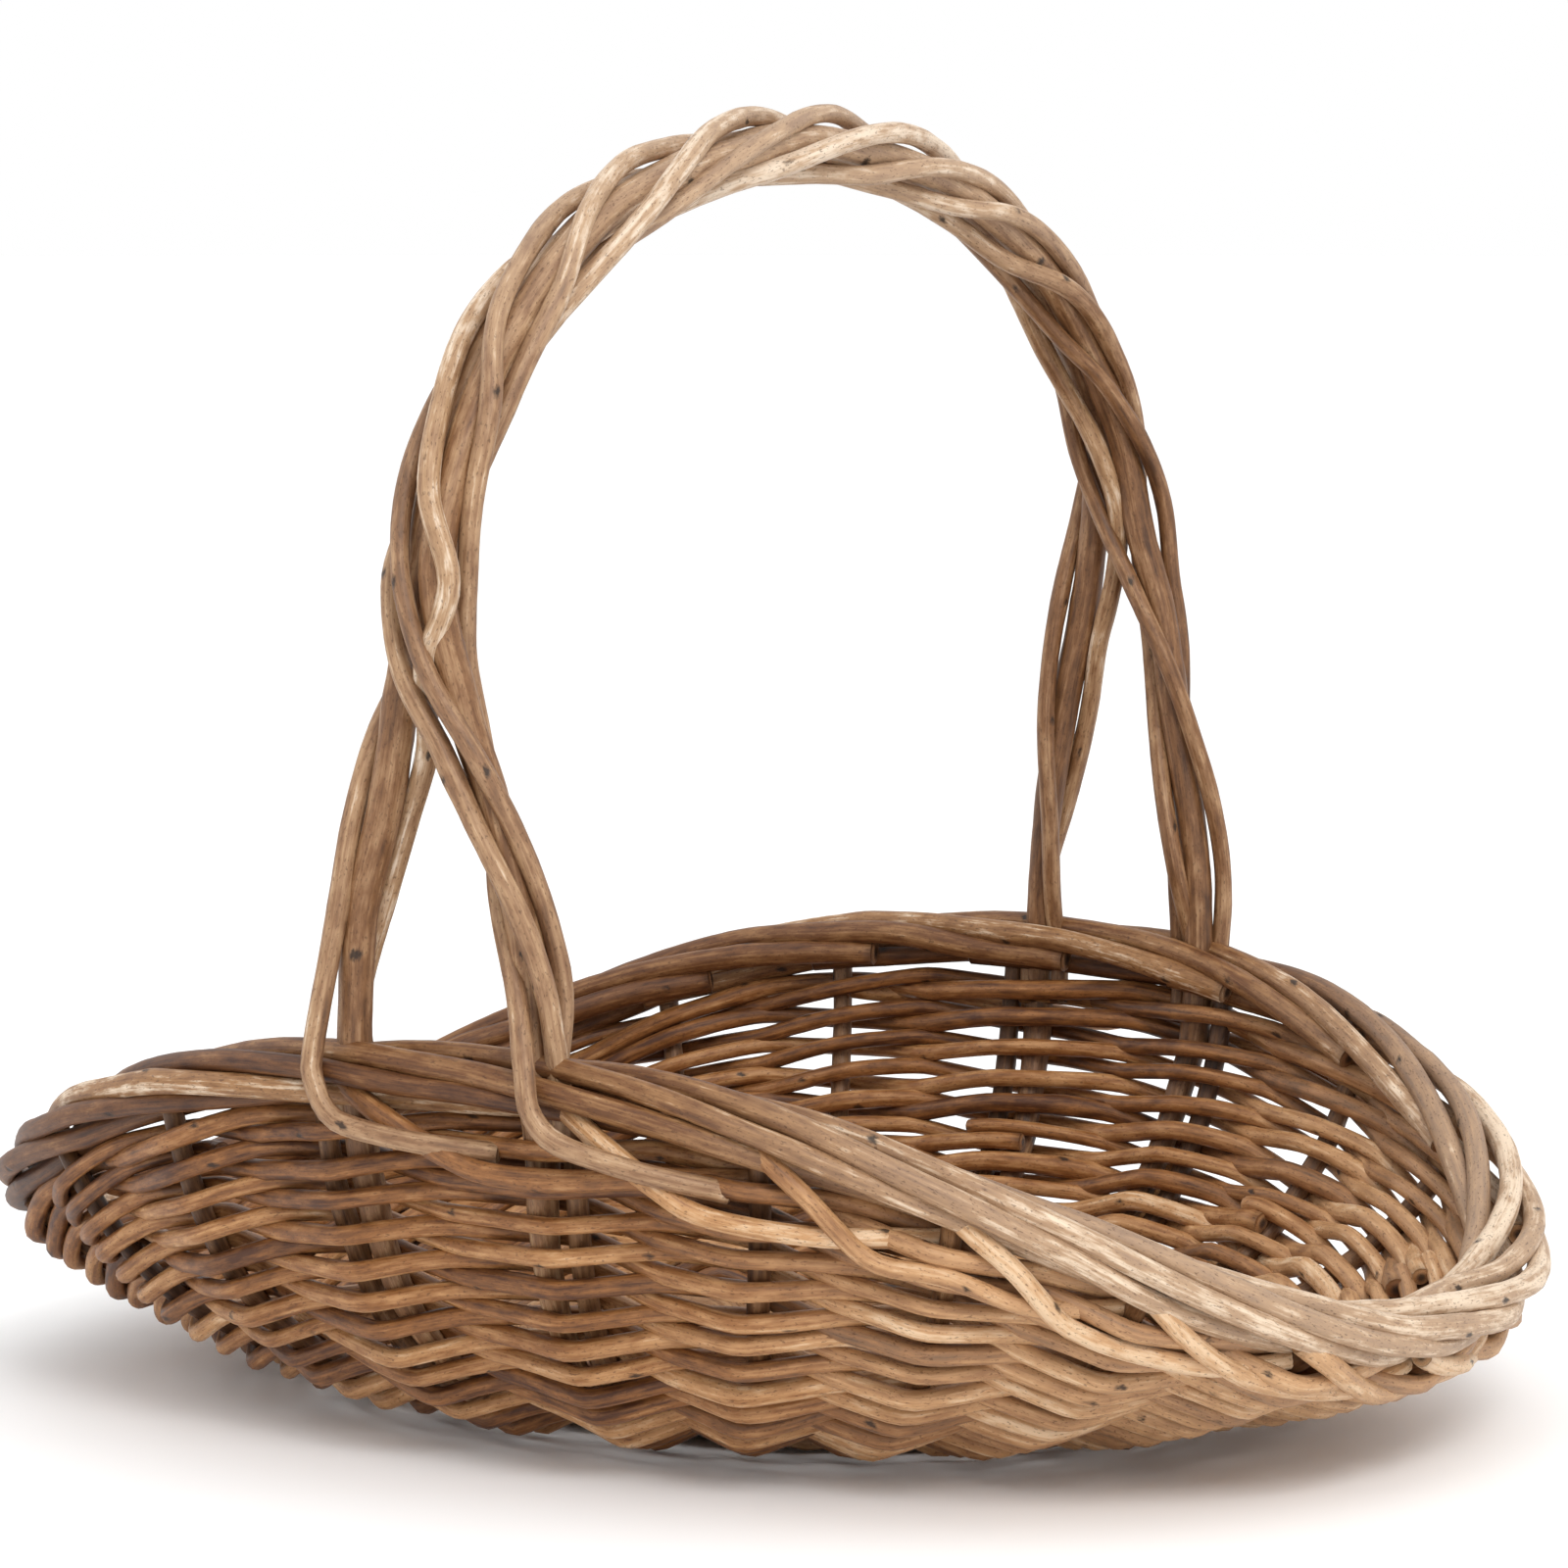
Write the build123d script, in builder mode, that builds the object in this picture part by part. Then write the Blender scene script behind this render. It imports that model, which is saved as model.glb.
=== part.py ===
from build123d import *
import math
import os

# A willow basket: an oval woven base, woven side walls that flare widely at the two ends,
# a bundled border that rises over the sides, and an arched handle of twisted rods.
# Millimetres. +X is the long axis, +Z is up, the origin is at the middle of the base on the floor.

# Border (rim): a bundle of rods round a superelliptic outline that is high at the handle.
RIM_HALF_LENGTH = 197.0
RIM_HALF_WIDTH = 150.0
RIM_SQUARENESS = 2.41
RIM_HEIGHT_AT_HANDLE = 104.0
RIM_HEIGHT_AT_ENDS = 38.0
BORDER_ROD_RADIUS = 3.5
BORDER_SPREAD = 9.6
BORDER_RISE = 4.5
BORDER_STEP_ANGLE = 10
BORDER_END_GAP = 1.0

# Woven wall, from the floor to just under the border.
FOOT_HALF_LENGTH = 87.0
FOOT_HALF_WIDTH = 67.0
WALL_TOP_BELOW_RIM = 8.5
WALL_SPREAD_X = 18.0
WALL_SPREAD_Y = 8.0
KNEE_SPREAD_Y = 10.0
FOOT_SPREAD_Y_OUT = 14.0
FOOT_SPREAD_Y_IN = 24.0
KNEE_HEIGHT = 18.0
KNEE_SHARE = 0.62
RING_POINTS = 36
WALL_PLAN_MARGIN = 10.0
BORDER_BED_WIDTH = 13.0
BAND_SHARES = (0.0, 0.3, 0.65, 1.0)
BAND_NAMES = ("foot_wale", "side_weave", "top_wale")
BAND_GAP = 0.3

# Side stakes, which run up inside the wall, with this many gaps round each end of the basket.
STAKE_GAPS = 10
STAKE_BESIDE_FOOT = 8.6
STAKE_RADIUS = 3.0
STAKE_START = 0.22
STAKE_END = 0.93
FIT_CLEARANCE = 0.3
STRAIGHT_ENOUGH = 0.4

# Woven base and the crossed sticks inside it.
BASE_HALF_LENGTH = 80.0
BASE_HALF_WIDTH = 61.0
BASE_THICKNESS = 15.5
STICK_RADIUS = 3.0
CROSS_STICK_HEIGHT = 4.5
LONG_STICK_HEIGHT = 10.9
CROSS_STICK_PLACES = (-45, -27, -9, 9, 27, 45)
LONG_STICK_PLACES = (-22.5, -7.5, 7.5, 22.5)
STICK_END_MARGIN = 5.0

# Handle: two thick cores and five thinner wrapping rods, one turn of lay over the arch.
HANDLE_CENTRE_X = 12.0
HANDLE_SKEW = 6.2
ARCH_HALF_WIDTH = 153.0
ARCH_SPRING_HEIGHT = 215.0
ARCH_RISE = 114.0
ARCH_STEPS = 20
LEG_STEP = 22.0
SPLIT_HEIGHT = 235.0
GATHER_HEIGHT = 122.0
CORE_RADIUS = 4.75
WRAP_RADIUS = 3.0
WRAP_END_HEIGHT = 113.0
CORE_DEPTH_IN_WALL = 70.0

# Where each rod lies in the handle's cross-section: across, outward, and which foot it goes to.
CORE_PLACES = {"handle_core_left": (-5.0, 0.0, 0), "handle_core_right": (5.0, 0.0, 1)}
WRAP_PLACES = {
    "handle_wrap_left_outer": (0.0, 6.5, 0),
    "handle_wrap_left_inner": (-7.8, -7.8, 0),
    "handle_wrap_right_inner": (0.0, -6.5, 1),
    "handle_wrap_right_outer": (7.8, 7.8, 1),
    "handle_wrap_right_side": (7.8, -7.8, 1),
}
# Where the two feet of each leg meet the border, along X: near side (-Y), then far side (+Y).
NEAR_FEET_X = (-29.0, 25.0)
FAR_FEET_X = (5.0, 57.0)

os.makedirs("parts", exist_ok=True)


def superellipse(angle, half_length, half_width):
    """Plan point of a superellipse at a parameter angle in degrees."""
    c = math.cos(math.radians(angle))
    s = math.sin(math.radians(angle))
    power = 2 / RIM_SQUARENESS
    x = half_length * math.copysign(abs(c) ** power, c)
    y = half_width * math.copysign(abs(s) ** power, s)
    return x, y


def rim_height(x):
    """Height of the border's middle above the floor at a place along the basket."""
    share = min(1.0, abs(x) / RIM_HALF_LENGTH) ** RIM_SQUARENESS
    return RIM_HEIGHT_AT_HANDLE - (RIM_HEIGHT_AT_HANDLE - RIM_HEIGHT_AT_ENDS) * share


def rim_side(x):
    """Distance of the border's middle from the long axis at a place along the basket."""
    share = min(1.0, abs(x) / RIM_HALF_LENGTH) ** RIM_SQUARENESS
    return RIM_HALF_WIDTH * (1 - share) ** (1 / RIM_SQUARENESS)


def rim_angle(x, side):
    """Parameter angle of the border point at x, on the near side (-1) or the far side (1)."""
    c = math.copysign((abs(x) / RIM_HALF_LENGTH) ** (RIM_SQUARENESS / 2), x)
    return side * math.degrees(math.acos(c))


def border_point(angle, out, up):
    """Point in the border bundle, shifted outward and up from its middle."""
    step = 0.5
    x, y = superellipse(angle, RIM_HALF_LENGTH, RIM_HALF_WIDTH)
    ahead = superellipse(angle + step, RIM_HALF_LENGTH, RIM_HALF_WIDTH)
    behind = superellipse(angle - step, RIM_HALF_LENGTH, RIM_HALF_WIDTH)
    outward = Vector(ahead[1] - behind[1], behind[0] - ahead[0], 0).normalized()
    return Vector(x, y, rim_height(x) + up) + outward * out


def evenly_along_rim(first, last):
    """Parameter angles of stakes spaced evenly along the border, from first up to last."""
    fine = [first + (last - first) * k / 400 for k in range(401)]
    places = [border_point(angle, 0, 0) for angle in fine]
    travel = [0.0]
    for before, here in zip(places, places[1:]):
        travel.append(travel[-1] + (here - before).length)
    goals = [travel[-1] * k / STAKE_GAPS for k in range(STAKE_GAPS + 1)]
    return [fine[sum(1 for t in travel[1:] if t < goal - 1e-6)] for goal in goals]


def stake_angles():
    """Stakes beside every handle foot, and evenly round each end of the basket between them."""
    near_front = rim_angle(NEAR_FEET_X[1] + STAKE_BESIDE_FOOT, -1)
    far_front = rim_angle(FAR_FEET_X[1] + STAKE_BESIDE_FOOT, 1)
    far_back = rim_angle(FAR_FEET_X[0] - STAKE_BESIDE_FOOT, 1)
    near_back = rim_angle(NEAR_FEET_X[0] - STAKE_BESIDE_FOOT, -1) + 360
    return evenly_along_rim(near_front, far_front) + evenly_along_rim(far_back, near_back)


def corners_only(points):
    """The route without points that lie in line with their neighbours."""
    kept = [points[0]]
    for here, after in zip(points[1:], points[2:]):
        if (here - kept[-1]).get_angle(after - here) > STRAIGHT_ENOUGH:
            kept.append(here)
    return kept + [points[-1]]


def bend_radii(points):
    """Largest tangent arc at each corner that leaves a tenth of the shorter run straight."""
    radii = []
    for before, here, after in zip(points, points[1:], points[2:]):
        first = here - before
        second = after - here
        half_turn = math.radians(first.get_angle(second)) / 2
        shorter = min(first.length, second.length)
        radii.append(0.45 * shorter / math.tan(half_turn))
    return radii


def bent_rod(points, radius):
    """Solid round rod along straight runs joined by tangent arcs."""
    corners = corners_only(points)
    if len(corners) == 2:
        return straight_rod(*corners, radius)
    with BuildPart() as rod:
        with BuildLine() as path:
            FilletPolyline(*corners, radius=bend_radii(corners))
        with BuildSketch(Plane(origin=path.wire() @ 0, z_dir=path.wire() % 0)):
            Circle(radius)
        sweep(path=path.wire())
    return rod.part


def straight_rod(start, end, radius):
    """Solid round rod between two points."""
    along = end - start
    with BuildPart() as rod:
        with BuildSketch(Plane(origin=start, z_dir=along)):
            Circle(radius)
        extrude(amount=along.length)
    return rod.part


def oval(plane, half_length, half_width):
    """Superelliptic face on a plane, drawn as one smooth closed curve."""
    points = [superellipse(15 * k, half_length, half_width) for k in range(24)]
    with BuildSketch(plane) as sketch:
        with BuildLine():
            Spline(*points, periodic=True)
        make_face()
    return sketch.sketch


def wall_corners(angle):
    """Foot, knee and head of the wall's middle surface at a parameter angle."""
    foot = Vector(*superellipse(angle, FOOT_HALF_LENGTH, FOOT_HALF_WIDTH), 0)
    head = border_point(angle, 0, -WALL_TOP_BELOW_RIM)
    knee = foot + (head - foot) * KNEE_SHARE
    return foot, Vector(knee.X, knee.Y, KNEE_HEIGHT), head


def save(part, name):
    """Names a part and writes its STEP file."""
    part.label = name
    export_step(part, f"parts/{name}.step")


# ---------------------------------------------------------------- base sticks and side stakes
cross_sticks = {}
for number, x in enumerate(CROSS_STICK_PLACES, 1):
    reach = BASE_HALF_WIDTH * (1 - (abs(x) / BASE_HALF_LENGTH) ** 2.0) ** 0.5 - STICK_END_MARGIN
    start = Vector(x, -reach, CROSS_STICK_HEIGHT)
    cross_sticks[f"base_cross_stick_{number}"] = (start, Vector(x, reach, CROSS_STICK_HEIGHT))
for number, y in enumerate(LONG_STICK_PLACES, 1):
    reach = BASE_HALF_LENGTH * (1 - (abs(y) / BASE_HALF_WIDTH) ** 2.0) ** 0.5 - STICK_END_MARGIN
    start = Vector(-reach, y, LONG_STICK_HEIGHT)
    cross_sticks[f"base_long_stick_{number}"] = (start, Vector(reach, y, LONG_STICK_HEIGHT))

stakes = {}
for number, angle in enumerate(stake_angles(), 1):
    foot, knee, head = wall_corners(angle)
    start = foot + (knee - foot) * STAKE_START
    stakes[f"side_stake_{number:02d}"] = [start, knee, knee + (head - knee) * STAKE_END]

for name, (start, end) in cross_sticks.items():
    save(straight_rod(start, end, STICK_RADIUS), name)
for name, route in stakes.items():
    save(bent_rod(route, STAKE_RADIUS), name)


# ---------------------------------------------------------------- handle
skew = math.radians(HANDLE_SKEW)
ALONG_ARCH = Vector(math.sin(skew), math.cos(skew), 0)
ACROSS_ARCH = Vector(math.cos(skew), -math.sin(skew), 0)
UP = Vector(0, 0, 1)
ARCH_MIDDLE = Vector(HANDLE_CENTRE_X, 0, 0)


def rope_point(reach, height, outward, turn, across, out):
    """Point of a rod in the twisted rope: the section is turned about the rope's middle."""
    c = math.cos(turn)
    s = math.sin(turn)
    middle = ARCH_MIDDLE + ALONG_ARCH * reach + UP * height
    return middle + ACROSS_ARCH * (across * c - out * s) + outward * (across * s + out * c)


def leg_point(side, height, across, out, foot):
    """Point of a rod in a leg, moving from the rope to its own foot on the border."""
    outward = ALONG_ARCH * side
    rope = rope_point(side * ARCH_HALF_WIDTH, height, outward, 0, across, out)
    foot_x = (NEAR_FEET_X if side < 0 else FAR_FEET_X)[foot]
    core_across = -5.0 if foot == 0 else 5.0
    standing = Vector(foot_x, side * rim_side(foot_x), height)
    standing += ACROSS_ARCH * (across - core_across) + outward * out
    share = min(1.0, max(0.0, (SPLIT_HEIGHT - height) / (SPLIT_HEIGHT - GATHER_HEIGHT)))
    return rope + (standing - rope) * share


def handle_route(across, out, foot, lowest):
    """Corner points of a handle rod from its near foot over the arch to its far foot."""
    leg_steps = round((ARCH_SPRING_HEIGHT - GATHER_HEIGHT) / LEG_STEP)
    rise = (ARCH_SPRING_HEIGHT - GATHER_HEIGHT) / leg_steps
    heights = [GATHER_HEIGHT + rise * k for k in range(leg_steps)]
    points = [leg_point(-1, z, across, out, foot) for z in heights]
    for k in range(ARCH_STEPS + 1):
        swing = math.pi * (1 - k / ARCH_STEPS)
        reach = ARCH_HALF_WIDTH * math.cos(swing)
        height = ARCH_SPRING_HEIGHT + ARCH_RISE * math.sin(swing)
        lean = Vector(math.cos(swing) / ARCH_HALF_WIDTH, math.sin(swing) / ARCH_RISE)
        lean = lean.normalized()
        outward = ALONG_ARCH * lean.X + UP * lean.Y
        turn = math.tau * k / ARCH_STEPS
        point = rope_point(reach, height, outward, turn, across, out)
        if height < SPLIT_HEIGHT:
            side = -1 if k < ARCH_STEPS / 2 else 1
            straight = leg_point(side, height, across, out, foot)
            level = rope_point(side * ARCH_HALF_WIDTH, height, ALONG_ARCH * side, 0, across, out)
            point = point + (straight - level)
        points.append(point)
    points += [leg_point(1, z, across, out, foot) for z in reversed(heights)]
    first = leg_point(-1, lowest, across, out, foot)
    last = leg_point(1, lowest, across, out, foot)
    return [first] + points + [last]


def tucked_tip(side, foot):
    """End of a core that goes down into the wall, parallel to the stake beside it."""
    foot_x = (NEAR_FEET_X if side < 0 else FAR_FEET_X)[foot]
    beside = STAKE_BESIDE_FOOT if foot else -STAKE_BESIDE_FOOT
    stake_angle = rim_angle(foot_x + beside, side)
    knee, head = wall_corners(stake_angle)[1:]
    entry = border_point(rim_angle(foot_x, side), 0, -WALL_TOP_BELOW_RIM)
    return entry + (knee - head).normalized() * CORE_DEPTH_IN_WALL


cores = {}
for name, (across, out, foot) in CORE_PLACES.items():
    bend_height = RIM_HEIGHT_AT_HANDLE - WALL_TOP_BELOW_RIM
    route = handle_route(across, out, foot, bend_height)
    route = [tucked_tip(-1, foot)] + route + [tucked_tip(1, foot)]
    cores[name] = route
    save(bent_rod(route, CORE_RADIUS), name)
for name, (across, out, foot) in WRAP_PLACES.items():
    save(bent_rod(handle_route(across, out, foot, WRAP_END_HEIGHT), WRAP_RADIUS), name)


# ---------------------------------------------------------------- border
def border_arc(first, last, out, up):
    """Corner points of a border rod between two parameter angles."""
    steps = math.floor((last - first) / BORDER_STEP_ANGLE)
    angles = [first + BORDER_STEP_ANGLE * k for k in range(steps)]
    return [border_point(angle, out, up) for angle in angles + [last]]


RING_PLACES = {
    "border_outer_low": (BORDER_SPREAD, -BORDER_RISE, 20),
    "border_outer_high": (BORDER_SPREAD, BORDER_RISE, 150),
    "border_inner_low": (-BORDER_SPREAD, -BORDER_RISE, 210),
    "border_inner_high": (-BORDER_SPREAD, BORDER_RISE, 330),
}
for name, (out, up, joint) in RING_PLACES.items():
    save(bent_rod(border_arc(joint, joint + 360 - BORDER_END_GAP, out, up), BORDER_ROD_RADIUS), name)

FOOT_CLEAR_ANGLE = 4.5
front_arc = (
    rim_angle(NEAR_FEET_X[1], -1) + FOOT_CLEAR_ANGLE,
    rim_angle(FAR_FEET_X[1], 1) - FOOT_CLEAR_ANGLE,
)
back_arc = (
    rim_angle(FAR_FEET_X[0], 1) + FOOT_CLEAR_ANGLE,
    rim_angle(NEAR_FEET_X[0], -1) - FOOT_CLEAR_ANGLE + 360,
)
for end_name, (first, last) in (("front", front_arc), ("back", back_arc)):
    for level_name, up in (("low", -BORDER_RISE), ("high", BORDER_RISE)):
        name = f"border_middle_{end_name}_{level_name}"
        save(bent_rod(border_arc(first, last, 0, up), BORDER_ROD_RADIUS), name)


# ---------------------------------------------------------------- woven base
with BuildPart() as base_weave:
    add(oval(Plane.XY, BASE_HALF_LENGTH, BASE_HALF_WIDTH))
    extrude(amount=BASE_THICKNESS)
    for start, end in cross_sticks.values():
        beyond = (end - start).normalized() * FIT_CLEARANCE
        tunnel = straight_rod(start - beyond, end + beyond, STICK_RADIUS + FIT_CLEARANCE)
        add(tunnel, mode=Mode.SUBTRACT)
save(base_weave.part, "base_weave")


# ---------------------------------------------------------------- woven wall, in three bands
def wall_ring(height, spread_x, spread_y):
    """Points round the wall at one height, moved out from its middle surface."""
    points = []
    for k in range(RING_POINTS):
        angle = 360 * k / RING_POINTS
        foot, knee, head = wall_corners(angle)
        middle = foot + (knee - foot) * (height / KNEE_HEIGHT)
        if height > KNEE_HEIGHT:
            middle = knee + (head - knee) * ((height - KNEE_HEIGHT) / (head.Z - KNEE_HEIGHT))
        out_x, out_y = superellipse(angle, spread_x, spread_y)
        points.append((middle.X + out_x, middle.Y + out_y))
    return points


def flare(side, foot_spread_y):
    """Solid inside the wall's outer face (side 1) or inner face (side -1), from the floor up."""
    top_height = RIM_HEIGHT_AT_HANDLE - WALL_TOP_BELOW_RIM
    sections = [(0, foot_spread_y), (KNEE_HEIGHT, KNEE_SPREAD_Y), (top_height, WALL_SPREAD_Y)]
    with BuildPart() as solid:
        for height, spread_y in sections:
            with BuildSketch(Plane.XY.offset(height)):
                with BuildLine():
                    Spline(*wall_ring(height, side * WALL_SPREAD_X, side * spread_y), periodic=True)
                make_face()
        loft(ruled=True)
    return solid.part


def saddle_slice(low_share, high_share):
    """Slab across the whole basket between two shares of the wall's own height."""
    reach = RIM_HALF_LENGTH + WALL_PLAN_MARGIN
    places = [reach * k / 8 for k in range(-8, 9)]

    def edge(share, gap):
        bed = RIM_HALF_LENGTH / (RIM_HALF_LENGTH - BORDER_BED_WIDTH)
        return [(x, share * (rim_height(x * bed) - WALL_TOP_BELOW_RIM) + gap) for x in places]

    lower = edge(low_share, BAND_GAP if low_share else 0)
    upper = edge(high_share, 0)
    with BuildPart() as slab:
        with BuildSketch(Plane.XZ.offset(-reach)):
            with BuildLine():
                Spline(*lower)
                Spline(*upper)
                Line(lower[0], upper[0])
                Line(lower[-1], upper[-1])
            make_face()
        extrude(amount=2 * reach)
    return slab.part


stake_tunnels = []
for start, knee, end in stakes.values():
    start = start - (knee - start).normalized() * FIT_CLEARANCE
    end = end + (end - knee).normalized() * FIT_CLEARANCE
    stake_tunnels.append(bent_rod([start, knee, end], STAKE_RADIUS + FIT_CLEARANCE))
core_tunnels = []
for route in cores.values():
    for tip, bend, above in (route[:3], route[:-4:-1]):
        tip = tip - (bend - tip).normalized()
        core_tunnels.append(bent_rod([tip, bend, above], CORE_RADIUS + FIT_CLEARANCE))

hollow = flare(-1, FOOT_SPREAD_Y_IN)
outer_form = flare(1, FOOT_SPREAD_Y_OUT)
for name, low_share, high_share in zip(BAND_NAMES, BAND_SHARES, BAND_SHARES[1:]):
    with BuildPart() as band:
        add(oval(Plane.XY, RIM_HALF_LENGTH + WALL_PLAN_MARGIN, RIM_HALF_WIDTH + WALL_PLAN_MARGIN))
        extrude(amount=RIM_HEIGHT_AT_HANDLE)
        add(outer_form, mode=Mode.INTERSECT)
        add(saddle_slice(low_share, high_share), mode=Mode.INTERSECT)
        add(hollow, mode=Mode.SUBTRACT)
        with BuildSketch(Plane.XY):
            add(oval(Plane.XY, BASE_HALF_LENGTH + FIT_CLEARANCE, BASE_HALF_WIDTH + FIT_CLEARANCE))
        extrude(amount=BASE_THICKNESS + FIT_CLEARANCE, mode=Mode.SUBTRACT)
        for tunnel in stake_tunnels + core_tunnels:
            add(tunnel, mode=Mode.SUBTRACT)
    save(band.part, name)
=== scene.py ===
import math

import bpy
import numpy as np
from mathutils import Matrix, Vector


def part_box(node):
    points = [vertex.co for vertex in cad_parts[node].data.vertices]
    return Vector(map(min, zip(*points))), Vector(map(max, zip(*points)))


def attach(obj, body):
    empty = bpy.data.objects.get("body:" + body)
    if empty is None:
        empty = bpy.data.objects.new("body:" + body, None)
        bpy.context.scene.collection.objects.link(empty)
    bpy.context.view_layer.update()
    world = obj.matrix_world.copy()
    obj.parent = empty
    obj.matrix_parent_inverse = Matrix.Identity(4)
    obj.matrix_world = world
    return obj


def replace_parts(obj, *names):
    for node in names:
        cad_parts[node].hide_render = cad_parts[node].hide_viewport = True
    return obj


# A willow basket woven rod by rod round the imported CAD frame. Metres, +X along the basket,
# +Y across it, +Z up. Every rod is a tapered tube with bud scars, in bark-stripped willow.

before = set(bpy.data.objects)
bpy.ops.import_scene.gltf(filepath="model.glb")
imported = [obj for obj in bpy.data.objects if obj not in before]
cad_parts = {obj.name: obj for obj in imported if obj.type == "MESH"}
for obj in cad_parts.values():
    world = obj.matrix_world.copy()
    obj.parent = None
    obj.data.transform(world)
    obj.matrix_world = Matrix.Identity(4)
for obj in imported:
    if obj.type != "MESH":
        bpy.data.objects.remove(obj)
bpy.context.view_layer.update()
random = np.random.default_rng(641)

# ---------------------------------------------------------------- sizes, from the CAD frame
# The CAD border is rods of this radius, which lie this far out from and above the rim curve.
CAD_BORDER_ROD = 0.0035
CAD_BORDER_SPREAD = 0.0096
CAD_BORDER_RISE = 0.0045
border_low, border_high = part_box("border_outer_high")
border_size = (border_high - border_low) / 2
RIM_A = border_size.x - CAD_BORDER_SPREAD - CAD_BORDER_ROD
RIM_B = border_size.y - CAD_BORDER_SPREAD - CAD_BORDER_ROD
RIM_HIGH = border_high.z - CAD_BORDER_RISE - CAD_BORDER_ROD
RIM_LOW = border_low.z - CAD_BORDER_RISE + CAD_BORDER_ROD

# Seen from above, the basket is a superellipse of this power. The wall's section is a curve
# from its foot to its head, which is this far below the middle of the border, drawn towards a
# low turning point. Fullness is how far out that point is, at the ends and along the sides.
SQUARENESS = 2.41
BORDER_BELOW = 0.0085
FOOT_A = 0.094
FOOT_B = 0.072
FOOT_Z = 0.0090
TURN_Z = 0.0120
END_FULLNESS = 0.52
SIDE_FULLNESS = 0.88

# Stakes stand beside the handle's feet, whose places along X are given for the near and the
# far side, and evenly round each end of the basket, with this many gaps.
STAKE_GAPS = 10
STAKE_BESIDE_FOOT = 0.0086
NEAR_FEET = (-0.029, 0.025)
FAR_FEET = (0.005, 0.057)
STAKE_R = 0.0030
WEAVER_R = 0.0025

# Rows of weaving start at this share of the way up the wall, and crowd towards its top.
ROWS = 14
FIRST_ROW = 0.015
ROW_CROWDING = 0.2

# The wall's curve is this share of the way from its foot by its turning point to its head.
CURVE_SHARE = 0.92


# ---------------------------------------------------------------- shape of the basket
def oval(t, a, b):
    """Superelliptic outline with half axes a and b, at parameter angles t."""
    c, s = np.cos(t), np.sin(t)
    power = 2 / SQUARENESS
    return a * np.sign(c) * np.abs(c) ** power, b * np.sign(s) * np.abs(s) ** power


def rim(t):
    """Middle of the border at parameter angles t."""
    x, y = oval(t, RIM_A, RIM_B)
    z = RIM_HIGH - (RIM_HIGH - RIM_LOW) * np.cos(t) ** 2
    return np.stack([x, y, z], -1)


def rim_angle(x, side):
    """Parameter angle of the border at x, on the near (-1) or the far (1) side."""
    c = math.copysign((abs(x) / RIM_A) ** (SQUARENESS / 2), x)
    return side * math.acos(c)


def unit(v):
    """Vectors of length one in the same directions."""
    return v / np.maximum(np.linalg.norm(v, axis=-1, keepdims=True), 1e-12)


def wall_corners(t):
    """Foot, turning point and head of the wall's curved section at parameter angles t."""
    x, y = oval(t, FOOT_A, FOOT_B)
    foot = np.stack([x, y, np.full_like(x, FOOT_Z)], -1)
    head = rim(t) - np.array([0, 0, BORDER_BELOW])
    fullness = END_FULLNESS + (SIDE_FULLNESS - END_FULLNESS) * np.sin(t)[..., None] ** 2
    turn = foot + (head - foot) * fullness
    turn[..., 2] = TURN_Z
    return foot, turn, head


def wall(t, f):
    """Middle surface of the wall: f is 0 at the base and 1 under the border."""
    t, f = np.broadcast_arrays(np.asarray(t, float), np.asarray(f, float))
    foot, turn, head = wall_corners(t)
    g = f[..., None]
    return (1 - g) ** 2 * foot + 2 * g * (1 - g) * turn + g**2 * head


def row_pitch(t):
    """Distance between rows of weaving, up the wall, at parameter angles t."""
    foot, turn, head = wall_corners(t)
    slope = np.linalg.norm(turn - foot, axis=-1) + np.linalg.norm(head - turn, axis=-1)
    return slope * CURVE_SHARE / ROWS


def wall_frame(t, f):
    """Point on the wall, with unit vectors up the wall and outward from it."""
    step = 1e-3
    point = wall(t, f)
    along = wall(t + step, f) - wall(t - step, f)
    up = unit(wall(t, f + step) - wall(t, f - step))
    out = unit(np.cross(along, up))
    return point, up, out


def evenly_along_rim(first, last):
    """Parameter angles spaced evenly along the border, from first up to last."""
    fine = np.linspace(first, last, 1200)
    steps = np.linalg.norm(np.diff(rim(fine), axis=0), axis=1)
    travel = np.concatenate([[0], np.cumsum(steps)])
    return np.interp(np.linspace(0, travel[-1], STAKE_GAPS + 1), travel, fine)


def stop_angles(beside):
    """Angles of the stakes, those at the handle's feet standing beside them by this much."""
    near_front = rim_angle(NEAR_FEET[1] + beside, -1)
    far_front = rim_angle(FAR_FEET[1] + beside, 1)
    far_back = rim_angle(FAR_FEET[0] - beside, 1)
    near_back = rim_angle(NEAR_FEET[0] - beside, -1) + math.tau
    return np.concatenate([
        evenly_along_rim(near_front, far_front),
        evenly_along_rim(far_back, near_back),
    ])


STAKES = stop_angles(STAKE_BESIDE_FOOT)
STOPS = stop_angles(STAKE_BESIDE_FOOT / 2)
COUNT = len(STOPS)
FEET_STOPS = [0, STAKE_GAPS, STAKE_GAPS + 1, COUNT - 1]


def stop_angle(u):
    """Parameter angle at a stop number u, which may be a fraction and may pass the last stop."""
    turns = np.floor(np.asarray(u, float) / COUNT)
    part = np.asarray(u, float) - turns * COUNT
    ring = np.append(STOPS, STOPS[0] + math.tau)
    return np.interp(part, np.arange(COUNT + 1), ring) + turns * math.tau


# ---------------------------------------------------------------- rods
# Bud scars come at random distances. Each is this long along the rod and this wide round it,
# in radians, on a swelling that is longer and wider, and makes the rod thicker all round.
BUD_SPACING = (0.022, 0.065)
BUD_LONG = 0.0021
BUD_WIDE = 0.42
SWELLING_LONG = 0.005
SWELLING_WIDE = 0.8
SWELLING_ROUND = 0.03
SWELLING_AT_BUD = 0.08

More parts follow.
